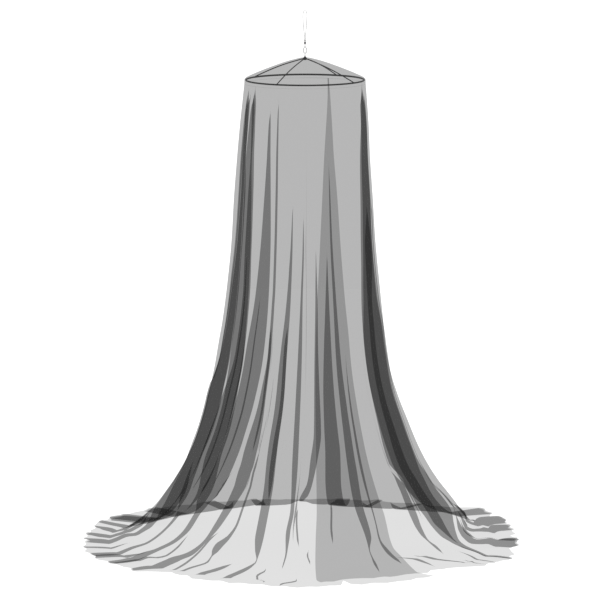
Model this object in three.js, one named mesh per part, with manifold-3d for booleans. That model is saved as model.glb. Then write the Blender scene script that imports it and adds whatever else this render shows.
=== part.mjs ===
// A mosquito net canopy: a round domed roof net and a long open skirt on a hoop with four ribs,
// hung by a thin cord loop. The skirt flares like a trumpet and lies in a round puddle.
// Millimetres, +Z up. The origin is the top of the cord loop, where the ceiling hook carries it.
// Inside this file heights are measured up from the floor, and the outer group lowers them all.
import * as THREE from "three";

// ---- driving sizes -------------------------------------------------------------------------
const HANG_HEIGHT = 2696; // top of the cord loop above the floor
const HOOP_HEIGHT = 2345; // middle of the hoop rod
const HOOP_RADIUS = 300; // to the middle of the rod
const HOOP_ROD = 8; // diameter
const RIB_ROD = 5; // diameter
const RIB_COUNT = 4;
const RIB_TURN = 31.4; // plan angle of the first rib from +X, degrees
const HUB_TOP = 2459; // shoulder under the roof net
const HUB_RADIUS = 8;
const CLOTH = 2; // thickness of the net sheets
const CLEAR = 2; // between cloth and what it passes over
const SEAT = 0.3; // between pieces that meet
const SEAM_DROP = 18; // the roof net turns down over the hoop this far
const FLOOR_LIFT = 0.2; // keeps the lying cloth just on the floor side of its layers

// ---- small helpers -------------------------------------------------------------------------
const rad = THREE.MathUtils.degToRad;
const clamp01 = (t) => Math.min(1, Math.max(0, t));
const ease = (t) => clamp01(t) ** 2 * (3 - 2 * clamp01(t));

/** A smooth curve through [at, value] stations, level beyond both ends. */
function through(stations, at) {
  const last = stations.length - 1;
  if (at <= stations[0][0]) return stations[0][1];
  if (at >= stations[last][0]) return stations[last][1];
  let i = 0;
  while (at > stations[i + 1][0]) i += 1;
  const slope = (a, b) => (stations[b][1] - stations[a][1]) / (stations[b][0] - stations[a][0]);
  const [x0, y0] = stations[i];
  const [x1, y1] = stations[i + 1];
  const step = x1 - x0;
  const m0 = slope(Math.max(0, i - 1), i + 1) * step;
  const m1 = slope(i, Math.min(last, i + 2)) * step;
  const t = (at - x0) / step;
  const t2 = t * t;
  const t3 = t2 * t;
  return (2 * t3 - 3 * t2 + 1) * y0 + (t3 - 2 * t2 + t) * m0 + (3 * t2 - 2 * t3) * y1 + (t3 - t2) * m1;
}

function part(name, geometry, material) {
  const mesh = new THREE.Mesh(geometry, material);
  mesh.name = name;
  return mesh;
}

/** A closed round rod along a curve. */
function rod(curve, diameter, steps, sides) {
  const section = new THREE.Shape();
  section.absarc(0, 0, diameter / 2, 0, Math.PI * 2, false);
  return new THREE.ExtrudeGeometry(section, { steps, curveSegments: sides / 2, bevelEnabled: false, extrudePath: curve });
}

// ---- materials -----------------------------------------------------------------------------
const net = new THREE.MeshStandardMaterial({ color: 0x3a3a3c, roughness: 0.95, metalness: 0, side: THREE.DoubleSide });
const frameSteel = new THREE.MeshStandardMaterial({ color: 0x2c2c2e, roughness: 0.55, metalness: 0.2 });
const brightSteel = new THREE.MeshStandardMaterial({ color: 0x9a9a9c, roughness: 0.35, metalness: 0.9 });
const beadPlastic = new THREE.MeshStandardMaterial({ color: 0x4a4a4c, roughness: 0.5, metalness: 0 });
const cordWhite = new THREE.MeshStandardMaterial({ color: 0xdedede, roughness: 0.8, metalness: 0 });

// ---- the skirt's fall ----------------------------------------------------------------------
// Side view of the fall: how far out the net hangs at each height, down to the floor and along it.
const LYING = CLOTH / 2 + FLOOR_LIFT;
const FALL = [
  { height: HOOP_HEIGHT - SEAM_DROP - SEAT, out: 308 },
  { height: 2140, out: 324 },
  { height: 1740, out: 350 },
  { height: 1330, out: 382 },
  { height: 920, out: 440 },
  { height: 710, out: 492 },
  { height: 500, out: 566 },
  { height: 300, out: 672 },
  { height: 190, out: 748 },
  { height: 95, out: 838 },
  { height: 30, out: 925 },
  { height: LYING, out: 1000 },
  { height: LYING, out: 1105 },
];
const fall = new THREE.CatmullRomCurve3(FALL.map((s) => new THREE.Vector3(s.out, 0, s.height)), false, "centripetal");
fall.arcLengthDivisions = 800;
const FALL_LENGTH = fall.getLength();
const REACH = FALL[FALL.length - 1].out;
const LEAN = 15; // the body leans this far to the left at mid height
const FOOT_OUT = 850; // from here outwards the hem's own reach takes over

/** Length down the fall at which it is this high. */
function dropAt(height) {
  let low = 0;
  let high = 1;
  for (let i = 0; i < 30; i += 1) {
    const middle = (low + high) / 2;
    if (fall.getPointAt(middle).z > height) low = middle;
    else high = middle;
  }
  return low * FALL_LENGTH;
}

// Levels that the fold table names.
const WAIST = dropAt(1440);
const KNEE = dropAt(700);
const ANKLE = dropAt(270);
const FOOT = dropAt(22);
const HEM = FALL_LENGTH;

// Bearings are degrees round the hoop from straight ahead (-Y), rising to the right (+X).
// The sheet starts at its free edge under the overlap, goes right round and ends over it.
const UNDER_EDGE = [[0, 21.5], [WAIST, 10.3], [KNEE, 5.4], [ANKLE, 4], [FOOT, 2.8], [HEM, 3.5]];
const OVER_EDGE = [[0, 383.2], [WAIST, 389], [KNEE, 390.6], [ANKLE, 390.4], [FOOT, 390], [HEM, 394]];
const OVERLAP_LIFT = 24; // the over edge hangs this far outside the under edge at the knee
const OVERLAP_SEWN = 5; // and this far at the hoop

// One row for each main fold, in order round the sheet. A fold is a pleat that leans to one side. It
// starts at a point and widens downwards to the hem.
// start: its height; at: bearing at start, knee, ankle, foot, hem; half: half its width in degrees at
// knee, ankle, foot, hem; deep: how far it stands out of the sheet, hanging.
const FOLDS = [
  { name: "overlap", start: 1600, at: [27, 21.5, 21, 21.5, 22], half: [2.6, 2.4, 2, 2], deep: 9 },
  { name: "right wide", start: 2230, at: [62, 55.5, 55, 60, 63], half: [12.8, 12, 9, 6], deep: 26 },
  { name: "right side", start: 500, at: [80, 80, 80, 81, 83], half: [1, 2, 2.6, 3], deep: 12 },
  { name: "right back", start: 2200, at: [108, 122.5, 125, 125, 124], half: [9.5, 8.5, 6, 5], deep: 24 },
  { name: "back right", start: 600, at: [146, 146, 147, 148, 148], half: [1, 2.2, 2.6, 3], deep: 12 },
  { name: "back band", start: 1500, at: [161, 165.5, 166.5, 167, 168], half: [3.6, 3.8, 3.6, 3.2], deep: 16 },
  { name: "back knot", start: 1200, at: [176, 178, 180, 181, 182], half: [2, 2.2, 2.4, 2.4], deep: 12 },
  { name: "back left", start: 600, at: [198, 198, 198, 198, 198], half: [1, 2, 2.4, 2.8], deep: 12 },
  { name: "left back", start: 2150, at: [231, 231, 231, 230, 229], half: [6.3, 6, 4.4, 3.6], deep: 20 },
  { name: "left side", start: 1950, at: [249, 249, 248, 250, 252], half: [6.3, 5.5, 4.4, 3.6], deep: 18 },
  { name: "left wide", start: 2230, at: [297, 299, 292, 284, 280], half: [13, 11, 8, 6], deep: 26 },
  { name: "left front", start: 2080, at: [328.5, 324.5, 316, 310, 304], half: [5.4, 5, 3.6, 3], deep: 20 },
  { name: "front narrow", start: 1900, at: [337, 336, 330, 326, 317], half: [2, 2.8, 2.6, 2.4], deep: 14 },
  { name: "front left", start: 1700, at: [349.5, 345.5, 344.5, 345.5, 346], half: [2.6, 2.2, 2, 2], deep: 13 },
  { name: "front middle", start: 1700, at: [358, 356, 355, 354.5, 354], half: [2, 1.8, 1.8, 1.8], deep: 11 },
];
// A fold's columns: where each lies across its half width, and how much of its depth it has.
const PLEAT = [
  { across: -1, depth: 0 },
  { across: -0.35, depth: 0.5 },
  { across: 0.55, depth: 1 },
  { across: 1.1, depth: -0.1 },
  { across: 1.6, depth: 0 },
];
const STEEPEST = 0.6; // a fold is no deeper than this share of its half width
const LYING_SHARE = 0.55; // of a fold's depth is left where it lies on the floor
const GATHER = 260; // a fold takes this long to reach half its depth
const COLUMN_STEP = 0.9; // degrees between a fold's columns above its start
const PLAIN_STEP = 8; // degrees between columns on the plain stretches, about

// How far out the hem lies, going round with the sheet.
const HEM_REACH = [
  [4, 1010], [20, 960], [35, 955], [46, 1005], [61, 1095], [76, 1075], [90, 1092], [108, 1140], [124, 1190],
  [138, 1120], [152, 1060], [167, 1085], [182, 1105], [196, 1055], [215, 1085], [231, 1125], [247, 1150],
  [262, 1150], [281, 1130], [296, 1100], [312, 1085], [322, 1030], [333, 1050], [348, 1060], [357, 1115],
  [370, 1105], [378, 1075], [384, 1105], [394, 1075],
];

/** Where a fold is, how wide and how deep it is, this far down the fall. */
function foldAt(fold, drop, out) {
  const start = dropAt(fold.start);
  const [atStart, atKnee, atAnkle, atFoot, atHem] = fold.at;
  const [knee, ankle, foot, hem] = fold.half;
  const bearings = [[Math.min(start, KNEE - 100), atStart], [KNEE, atKnee], [ANKLE, atAnkle], [FOOT, atFoot], [HEM, atHem]];
  const opened = clamp01((drop - start) / (ANKLE - start)) ** 0.45;
  const half = opened * through([[KNEE, knee], [ANKLE, ankle], [FOOT, foot], [HEM, hem]], drop);
  const gathered = fold.deep * (1 - Math.exp(-Math.max(0, drop - start) / GATHER));
  return { bearing: through(bearings, drop), half, depth: Math.min(gathered, STEEPEST * rad(half) * out) };
}

/** The sheet's run round the hoop at one level: bearing in degrees and depth, column by column. */
function runAt(drop, out) {
  const run = [{ bearing: through(UNDER_EDGE, drop), depth: 0 }];
  const plainTo = (bearing, columns) => {
    const from = run[run.length - 1].bearing;
    for (let i = 1; i <= columns; i += 1) run.push({ bearing: from + ((bearing - from) * i) / (columns + 1), depth: 0 });
  };
  for (const [i, fold] of FOLDS.entries()) {
    const { bearing, half, depth } = foldAt(fold, drop, out);
    const points = PLEAT.map((p, k) => ({
      bearing: bearing + p.across * half + (k - 2) * COLUMN_STEP * Math.exp(-half / COLUMN_STEP),
      depth: depth * p.depth,
    }));
    plainTo(points[0].bearing, PLAIN_COLUMNS[i]);
    run.push(...points);
  }
  const end = through(OVER_EDGE, drop);
  plainTo(end, PLAIN_COLUMNS[FOLDS.length]);
  run.push({ bearing: end, depth: 0 });
  return run;
}

// The plain stretches get as many columns as they are wide at the knee.
const edges = [5.4, ...FOLDS.flatMap((fold) => [fold.at[1] - fold.half[0], fold.at[1] + 1.6 * fold.half[0]]), 390.6];
const PLAIN_COLUMNS = [];
for (let i = 0; i < edges.length; i += 2) {
  PLAIN_COLUMNS.push(Math.max(1, Math.round((edges[i + 1] - edges[i]) / PLAIN_STEP)));
}
const COLUMNS = runAt(0, HOOP_RADIUS).length - 1;
// Rows: even down the hanging part, closer where the net bends onto the floor.
const ROWS = [0, 0.07, 0.15, 0.24, 0.33, 0.42, 0.51, 0.6, 0.68, 0.75, 0.81, 0.86, 0.9, 0.935, 0.965, 1];

/** A point on the middle of the skirt's cloth. */
function skirtPoint(row, column) {
  const station = fall.getPointAt(row);
  const tangent = fall.getTangentAt(row);
  const drop = row * FALL_LENGTH;
  const { bearing, depth } = runAt(drop, station.x)[column];
  const reach = through(HEM_REACH, bearing);
  const past = Math.max(0, station.x - FOOT_OUT) / (REACH - FOOT_OUT);
  const lying = ease((drop - ANKLE) / (FOOT - ANKLE));
  const parted = OVERLAP_SEWN + (OVERLAP_LIFT - OVERLAP_SEWN) * ease(drop / KNEE);
  const over = ease((bearing - 335) / 45) * parted * (1 - 0.5 * lying);
  const lift = depth * (1 - (1 - LYING_SHARE) * lying) + over;
  const stand = lying > 0.9 ? Math.max(0, lift) : lift; // nothing goes under the floor
  const out = Math.min(station.x, FOOT_OUT) + past * (reach - FOOT_OUT) - tangent.z * stand;
  const hung = clamp01((HOOP_HEIGHT - station.z) / (HOOP_HEIGHT - 300));
  const angle = rad(bearing);
  return new THREE.Vector3(
    Math.sin(angle) * out - LEAN * Math.sin(Math.PI * hung),
    -Math.cos(angle) * out,
    station.z + tangent.x * stand,
  );
}

/** A thin closed sheet from a grid of middle points, thickened along the cloth's own normals. */
function sheet(grid, thickness) {
  const columns = grid[0].length - 1;
  const rows = grid.length - 1;
  const geometry = new THREE.BoxGeometry(1, 1, 1, columns, rows, 1);
  // both faces split their squares along the same diagonal, so that a twisted one keeps its thickness
  const corners = geometry.index;
  const back = geometry.groups[5];
  for (let i = back.start; i < back.start + back.count; i += 6) {
    const [a, b, d, , c] = corners.array.slice(i, i + 6);
    [a, b, c, a, c, d].forEach((corner, k) => corners.setX(i + k, corner));
  }
  const places = geometry.getAttribute("position");
  const across = new THREE.Vector3();
  const down = new THREE.Vector3();
  const normals = grid.map((line, r) => line.map((_, c) => {
    across.subVectors(line[Math.min(columns, c + 1)], line[Math.max(0, c - 1)]);
    down.subVectors(grid[Math.min(rows, r + 1)][c], grid[Math.max(0, r - 1)][c]);
    return new THREE.Vector3().crossVectors(down, across).normalize();
  }));
  for (let i = 0; i < places.count; i += 1) {
    const c = Math.round((places.getX(i) + 0.5) * columns);
    const r = Math.round((0.5 - places.getY(i)) * rows);
    const side = places.getZ(i) * thickness;
    const spot = grid[r][c].clone().addScaledVector(normals[r][c], side);
    places.setXYZ(i, spot.x, spot.y, Math.max(0, spot.z));
  }
  geometry.computeVertexNormals();
  return geometry;
}

function skirtNet() {
  const grid = ROWS.map((row) => {
    const line = [];
    for (let column = 0; column <= COLUMNS; column += 1) line.push(skirtPoint(row, column));
    return line;
  });
  return part("skirt_net", sheet(grid, CLOTH), net);
}

// ---- the roof net --------------------------------------------------------------------------
// Side view of the roof: height of the cloth's underside at each radius.
const ROOF = [
  { out: 7, height: HUB_TOP + SEAT },
  { out: 15, height: HUB_TOP + SEAT },
  { out: 50, height: 2453 },
  { out: 100, height: 2440 },
  { out: 150, height: 2423 },
  { out: 200, height: 2404 },
  { out: 250, height: 2383 },
  { out: 288, height: 2364 },
];

function roofNet() {
  const bend = HOOP_ROD / 2 + CLEAR;
  const under = ROOF.map((s) => new THREE.Vector2(s.out, s.height));
  for (const angle of [60, 30, 0]) {
    under.push(new THREE.Vector2(
      HOOP_RADIUS + bend * Math.cos(rad(angle)),
      HOOP_HEIGHT + bend * Math.sin(rad(angle)),
    ));
  }
  under.push(new THREE.Vector2(HOOP_RADIUS + bend + 1, HOOP_HEIGHT - SEAM_DROP));
  const over = under.map((spot, i) => {
    const before = under[Math.max(0, i - 1)];
    const after = under[Math.min(under.length - 1, i + 1)];
    const along = after.clone().sub(before).normalize();
    return new THREE.Vector2(spot.x - along.y * CLOTH, spot.y + along.x * CLOTH);
  });
  const outline = [...under, ...over.reverse(), under[0].clone()];
  const geometry = new THREE.LatheGeometry(outline, 44);
  geometry.rotateX(Math.PI / 2);
  return part("roof_net", geometry, net);
}

// ---- the frame -----------------------------------------------------------------------------
function hoop() {
  const section = [];
  const sides = 8;
  for (let i = 0; i <= sides; i += 1) {
    const angle = (i / sides) * Math.PI * 2;
    section.push(new THREE.Vector2(
      HOOP_RADIUS + (HOOP_ROD / 2) * Math.cos(angle),
      (HOOP_ROD / 2) * Math.sin(angle),
    ));
  }
  const geometry = new THREE.LatheGeometry(section, 56);
  geometry.rotateX(Math.PI / 2);
  const mesh = part("hoop", geometry, frameSteel);
  mesh.position.z = HOOP_HEIGHT;
  return mesh;
}

/** A bowed rod from the hub out to the hoop, lying just under the roof net. */
function rib(index) {
  const below = RIB_ROD / 2 + CLEAR;
  const inner = HUB_RADIUS + SEAT;
  const slant = 1.1; // its end face slopes, and the hoop's inside is faceted
  const outer = HOOP_RADIUS - HOOP_ROD / 2 - SEAT - slant;
  const spots = [new THREE.Vector3(inner, 0, HUB_TOP - below - 1)];
  for (const s of ROOF.slice(2, -1)) spots.push(new THREE.Vector3(s.out, 0, s.height - below));
  spots.push(new THREE.Vector3(outer, 0, HOOP_HEIGHT + 1));
  const mesh = part(`rib_${index + 1}`, rod(new THREE.CatmullRomCurve3(spots), RIB_ROD, 14, 8), frameSteel);
  mesh.rotation.z = rad(RIB_TURN + (360 / RIB_COUNT) * index);
  return mesh;
}

// ---- what it hangs by ----------------------------------------------------------------------
const EYE_RADIUS = 3.4; // of a small eye, to the middle of its wire
const EYE_WIRE = 2.2;
const RING_WIRE = 3;
const RING_TOP = 2515;
const RING_BOTTOM = 2480;
const RING_HALF_WIDTH = 10;
const STOP_BOTTOM = 2527.5;
const STOP_TOP = 2539;
const KNOT_BOTTOM = 2541;
const KNOT_TOP = 2549;
const CORD = 2;
const CORD_APART = 1.3; // from the middle of the knot to each strand

/** A turned piece with a small wire eye standing across the ring, joined into one solid. */
function turnedWithEye(profile, eyeHeight) {
  const geometry = new THREE.LatheGeometry(profile, 12);
  geometry.rotateX(Math.PI / 2);
  const eye = new THREE.TorusGeometry(EYE_RADIUS, EYE_WIRE / 2, 6, 12);
  eye.rotateY(Math.PI / 2);
  eye.translate(0, 0, eyeHeight);
  return [geometry, eye];
}

async function joined(geometries) {
  const { default: Module } = await import("manifold-3d");
  const { mergeVertices } = await import("three/addons/utils/BufferGeometryUtils.js");
  const wasm = await Module();
  wasm.setup();
  const solids = geometries.map((geometry) => {
    const bare = geometry.clone();
    bare.deleteAttribute("normal");
    bare.deleteAttribute("uv");
    const merged = mergeVertices(bare, 1e-3);
    return new wasm.Manifold(new wasm.Mesh({
      numProp: 3,
      vertProperties: new Float32Array(merged.getAttribute("position").array),
      triVerts: new Uint32Array(merged.index.array),
    }));
  });
  const whole = solids.reduce((a, b) => a.add(b)).getMesh();
  const result = new THREE.BufferGeometry();
  result.setAttribute("position", new THREE.BufferAttribute(new Float32Array(whole.vertProperties), 3));
  result.setIndex(Array.from(whole.triVerts));
  result.computeVertexNormals();
  return result;
}

const v2 = (x, y) => new THREE.Vector2(x, y);

async function hub() {
  const eyeHeight = RING_BOTTOM + RING_WIRE / 2 - EYE_RADIUS + RING_WIRE / 2 + EYE_WIRE / 2 + SEAT;
  const stemTop = eyeHeight - EYE_RADIUS + EYE_WIRE / 2;
  const profile = [
    v2(0, HUB_TOP - 12), v2(HUB_RADIUS - 1, HUB_TOP - 12), v2(HUB_RADIUS, HUB_TOP - 11),
    v2(HUB_RADIUS, HUB_TOP - 1.5), v2(14, HUB_TOP - 1.5), v2(14, HUB_TOP), v2(6, HUB_TOP), v2(5, HUB_TOP + 5),
    v2(2.2, HUB_TOP + 7), v2(2.2, stemTop - 1), v2(1.4, stemTop), v2(0, stemTop),
  ];
  return part("hub", await joined(turnedWithEye(profile, eyeHeight)), frameSteel);
}

async function cordStop() {
  const eyeHeight = RING_TOP - RING_WIRE / 2 + EYE_RADIUS - RING_WIRE / 2 - EYE_WIRE / 2 - SEAT;
  const neckBottom = eyeHeight + EYE_RADIUS - EYE_WIRE / 2;
  const profile = [
    v2(0, neckBottom), v2(1.3, neckBottom), v2(1.5, STOP_BOTTOM), v2(3.6, STOP_BOTTOM), v2(5, STOP_BOTTOM + 2.5),
    v2(5, STOP_TOP - 2.5), v2(3.4, STOP_TOP), v2(1.3, STOP_TOP), v2(1.3, KNOT_BOTTOM - SEAT), v2(0, KNOT_BOTTOM - SEAT),
  ];
  return part("cord_stop", await joined(turnedWithEye(profile, eyeHeight)), beadPlastic);
}

/** The teardrop ring: a round wire bent round an oval that is widest low down. */
function linkRing() {
  const middle = (RING_TOP + RING_BOTTOM) / 2;
  const tall = (RING_TOP - RING_BOTTOM) / 2 - RING_WIRE / 2;
  const wide = RING_HALF_WIDTH - RING_WIRE / 2;
  const spots = [];
  for (let i = 0; i < 20; i += 1) {
    const turn = (i / 20) * Math.PI * 2;
    const pinch = 1 - 0.22 * Math.cos(turn);
    spots.push(new THREE.Vector3(wide * Math.sin(turn) * pinch, 0, middle + tall * Math.cos(turn)));
  }
  const path = new THREE.CatmullRomCurve3(spots, true);
  const section = new THREE.Shape();
  section.absarc(0, 0, RING_WIRE / 2, 0, Math.PI * 2, false);
  const options = { steps: 28, curveSegments: 4, bevelEnabled: false, extrudePath: path };
  return part("link_ring", new THREE.ExtrudeGeometry(section, options), brightSteel);
}

function cordKnot() {
  const tall = KNOT_TOP - KNOT_BOTTOM;
  const profile = [v2(0, KNOT_BOTTOM)];
  for (const t of [0, 0.3, 0.7, 1]) {
    profile.push(v2(1.8 + 1.6 * Math.sin(Math.PI * t), KNOT_BOTTOM + tall * t));
  }
  profile.push(v2(0, KNOT_TOP));
  const geometry = new THREE.LatheGeometry(profile, 12);
  geometry.rotateX(Math.PI / 2);
  return part("cord_knot", geometry, cordWhite);
}

// The cord's route: up from the knot, round the top of the loop and back down, chosen by hand.
const TOP = HANG_HEIGHT - CORD / 2;
const CORD_ROUTE = [
  [-CORD_APART, KNOT_TOP + SEAT], [-CORD_APART, 2560], [-2.6, 2574], [-5.4, 2592], [-7.6, 2612], [-9.2, 2634],
  [-10.3, 2656], [-10.4, 2674], [-8.2, 2687], [-4, 2694], [0, TOP], [4, 2694], [8, 2687], [9.8, 2674],
  [9.2, 2656], [8, 2634], [6.6, 2612], [4.8, 2592], [2.4, 2574], [CORD_APART, 2560], [CORD_APART, KNOT_TOP + SEAT],
];

function hangingCord() {
  const path = new THREE.CatmullRomCurve3(CORD_ROUTE.map(([x, z]) => new THREE.Vector3(x, 0, z)));
  return part("hanging_cord", rod(path, CORD, 64, 8), cordWhite);
}

// ---- the whole object ----------------------------------------------------------------------
const canopy = new THREE.Group();
const upFromFloor = new THREE.Group();
upFromFloor.position.z = -HANG_HEIGHT;
canopy.add(upFromFloor);
upFromFloor.add(skirtNet(), roofNet(), hoop());
for (let i = 0; i < RIB_COUNT; i += 1) upFromFloor.add(rib(i));
upFromFloor.add(await hub(), linkRing(), await cordStop(), cordKnot(), hangingCord());
canopy.updateMatrixWorld(true);

export default canopy;
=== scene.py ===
# %% [markdown]
# # A mosquito net canopy, dressed piece by piece
# The real object is a round net that hangs from a ceiling hook: a domed roof net and a long
# open skirt on a thin steel hoop, four bowed ribs, a small hub, a ring, a bead and a loop of cord.
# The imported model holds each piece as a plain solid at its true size. This lesson loads it first
# and never moves or resizes it. A finer piece then takes the place of each plain solid, where it
# was and very nearly as big, because pleats, thin wire and see-through cloth need more points and
# another finish than a solid has.

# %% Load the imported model
from math import cos, pi, radians, sin

import bmesh
import bpy
import numpy as np
from mathutils import Matrix, Vector


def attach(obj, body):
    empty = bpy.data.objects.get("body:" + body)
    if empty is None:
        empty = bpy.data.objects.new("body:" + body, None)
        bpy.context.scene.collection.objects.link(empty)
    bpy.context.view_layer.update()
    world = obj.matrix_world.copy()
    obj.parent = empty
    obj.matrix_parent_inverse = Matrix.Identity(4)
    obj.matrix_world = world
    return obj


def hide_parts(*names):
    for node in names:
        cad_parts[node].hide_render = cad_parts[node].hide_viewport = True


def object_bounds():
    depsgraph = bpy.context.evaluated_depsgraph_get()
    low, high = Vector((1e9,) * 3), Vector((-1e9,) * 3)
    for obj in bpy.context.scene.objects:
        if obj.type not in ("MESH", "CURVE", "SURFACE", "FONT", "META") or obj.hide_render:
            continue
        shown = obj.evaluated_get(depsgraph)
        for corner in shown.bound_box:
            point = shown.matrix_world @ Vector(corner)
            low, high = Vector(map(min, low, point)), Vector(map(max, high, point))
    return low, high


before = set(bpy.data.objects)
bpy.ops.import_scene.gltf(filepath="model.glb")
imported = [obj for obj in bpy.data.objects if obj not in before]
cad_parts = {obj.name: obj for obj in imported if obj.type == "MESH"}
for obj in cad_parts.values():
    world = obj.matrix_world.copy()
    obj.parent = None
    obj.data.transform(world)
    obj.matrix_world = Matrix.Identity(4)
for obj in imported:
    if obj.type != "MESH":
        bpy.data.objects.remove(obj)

MM = 0.001
CAD_BOX = [list(corner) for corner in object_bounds()]
FLOOR_Z = CAD_BOX[0][2]  # what the skirt lies on
HANG_HEIGHT = -FLOOR_Z  # the top of the cord's loop above that floor
print("floor at", round(FLOOR_Z, 4), "m, box", CAD_BOX)

# %% [markdown]
# ## Camera, light and floor
# A sheer net is easiest to read against a bright field, so the world and the floor are both
# brighter than white and the net is the only dark thing. A white backdrop with many lights could
# do the same, but it would need care with shadows, and a field that glows by itself casts none.
# The camera stands 7.85 m away at the height of a person's eyes and looks slightly down.

# %% Camera
SENSOR_WIDTH = 36.0
FOCAL_LENGTH = 92.1
CAMERA_BACK = 7.85
CAMERA_SIDE = -0.0254
CAMERA_HEIGHT = 1.618  # above the floor
CAMERA_PITCH = 2.86  # degrees down

lens = bpy.data.cameras.new("studio_camera")
lens.sensor_width = SENSOR_WIDTH
lens.lens = FOCAL_LENGTH
camera = bpy.data.objects.new("studio_camera", lens)
camera.location = (CAMERA_SIDE, -CAMERA_BACK, FLOOR_Z + CAMERA_HEIGHT)
camera.rotation_euler = (radians(90 - CAMERA_PITCH), 0, 0)
scene = bpy.context.scene
scene.collection.objects.link(camera)
scene.camera = camera
print("camera", [round(c, 3) for c in camera.location])

# %% Light, view and see-through layers
FIELD = 1.25  # brightness of the field behind the net
MOST_LAYERS = 96  # sheer surfaces that one line of sight may cross

world = bpy.data.worlds.new("bright_field")
scene.world = world
world.use_nodes = True
world.node_tree.nodes["Background"].inputs["Color"].default_value = (1, 1, 1, 1)
world.node_tree.nodes["Background"].inputs["Strength"].default_value = FIELD
scene.view_settings.view_transform = "Standard"
scene.cycles.transparent_max_bounces = MOST_LAYERS
scene.cycles.min_transparent_bounces = MOST_LAYERS  # no line of sight is given up early


def soft_light(name, place, aim, size, power):
    """A square studio light that looks from its place to its aim."""
    panel = bpy.data.lights.new(name, "AREA")
    panel.size = size
    panel.energy = power
    lamp = bpy.data.objects.new(name, panel)
    lamp.location = place
    lamp.rotation_euler = (Vector(aim) - Vector(place)).to_track_quat("-Z", "Y").to_euler()
    scene.collection.objects.link(lamp)


PANEL_SIZE = 2.2
soft_light("left_panel", place=(-3.5, -3.0, 0.6), aim=(0, 0, -1.2), size=PANEL_SIZE, power=60)
soft_light("right_panel", place=(3.8, -2.0, -0.4), aim=(0, 0, -1.4), size=PANEL_SIZE, power=35)
print("field", FIELD, "and up to", MOST_LAYERS, "layers in one line of sight")

# %% Helpers for materials and pieces


def shader(name, color, roughness, metallic=0.0, specular=0.5, alpha=1.0):
    """A material with a Principled shader whose plain numbers sit on its own sockets."""
    material = bpy.data.materials.new(name)
    material.use_nodes = True
    skin = material.node_tree.nodes["Principled BSDF"]
    skin.inputs["Base Color"].default_value = (*color, 1)
    skin.inputs["Roughness"].default_value = roughness
    skin.inputs["Metallic"].default_value = metallic
    skin.inputs["Specular IOR Level"].default_value = specular
    skin.inputs["Alpha"].default_value = alpha
    print("material", name)
    return material, material.node_tree.nodes, material.node_tree.links, skin


def texture(nodes, links, kind, source, **settings):
    """A texture node that reads the given coordinates, with its settings and its sockets."""
    node = nodes.new(kind)
    for name, value in settings.items():
        if name in node.inputs:
            node.inputs[name].default_value = value
        else:
            setattr(node, name, value)
    links.new(source, node.inputs["Vector"])
    return node


def ramp(nodes, links, source, low, high, dark, light):
    """Maps a grey value between two stops to a colour between two colours."""
    node = nodes.new("ShaderNodeValToRGB")
    node.color_ramp.elements[0].position = low
    node.color_ramp.elements[1].position = high
    node.color_ramp.elements[0].color = (*dark, 1)
    node.color_ramp.elements[1].color = (*light, 1)
    links.new(source, node.inputs["Fac"])
    return node


def bump(nodes, links, height, skin, distance, strength=1.0):
    """Raises a surface by a texture."""
    node = nodes.new("ShaderNodeBump")
    node.inputs["Distance"].default_value = distance
    node.inputs["Strength"].default_value = strength
    links.new(height, node.inputs["Height"])
    links.new(node.outputs["Normal"], skin.inputs["Normal"])


MERGE = 1e-6  # metres, points nearer than this are one


def finish_piece(bm, name, material, replaces, closed=True):
    """Turns a bmesh into a named, smooth piece that rides with the canopy and replaces a node."""
    if closed:
        bmesh.ops.remove_doubles(bm, verts=bm.verts, dist=MERGE)
        bmesh.ops.recalc_face_normals(bm, faces=bm.faces)
    mesh = bpy.data.meshes.new(name)
    bm.to_mesh(mesh)
    bm.free()
    mesh.shade_smooth()
    mesh.materials.append(material)
    piece = bpy.data.objects.new(name, mesh)
    scene.collection.objects.link(piece)
    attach(piece, "root")
    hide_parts(*replaces)
    triangles = sum(len(p.vertices) - 2 for p in mesh.polygons)
    print(name, len(mesh.vertices), "points,", triangles, "triangles")
    return piece


def soft_steps(start, end, places):
    """0 before start, 1 after end and a soft S between them; start may be the larger."""
    share = np.clip((np.asarray(places, float) - start) / (end - start), 0, 1)
    return share * share * (3 - 2 * share)


def through(stations, places):
    """Values at the places on a soft curve through (place, value, ...) stations.
    The curve never swings past its stations, and its ends are held."""
    table = np.array(sorted(map(tuple, stations)), float)
    at, values = table[:, 0], table[:, 1:]
    slopes = np.diff(values, axis=0) / np.diff(at)[:, None]
    before, after = slopes[:-1], slopes[1:]
    same_way = before * after > 0
    total = np.where(same_way, before + after, 1)
    inner = np.where(same_way, 2 * before * after / total, 0)
    lean = np.vstack([slopes[:1], inner, slopes[-1:]])
    places = np.clip(np.asarray(places, float), at[0], at[-1])
    k = np.clip(np.searchsorted(at, places, side="right") - 1, 0, len(at) - 2)
    width = (at[k + 1] - at[k])[..., None]
    t = (places - at[k])[..., None] / width
    return (
        values[k] * (1 + 2 * t) * (1 - t) ** 2
        + values[k + 1] * t * t * (3 - 2 * t)
        + width * (lean[k] * t * (1 - t) ** 2 - lean[k + 1] * t * t * (1 - t))
    )


# %% Floor
FLOOR_SIZE = 60
FLOOR_GREY = 0.08  # what the floor throws back of the light, the rest being its own glow

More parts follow.
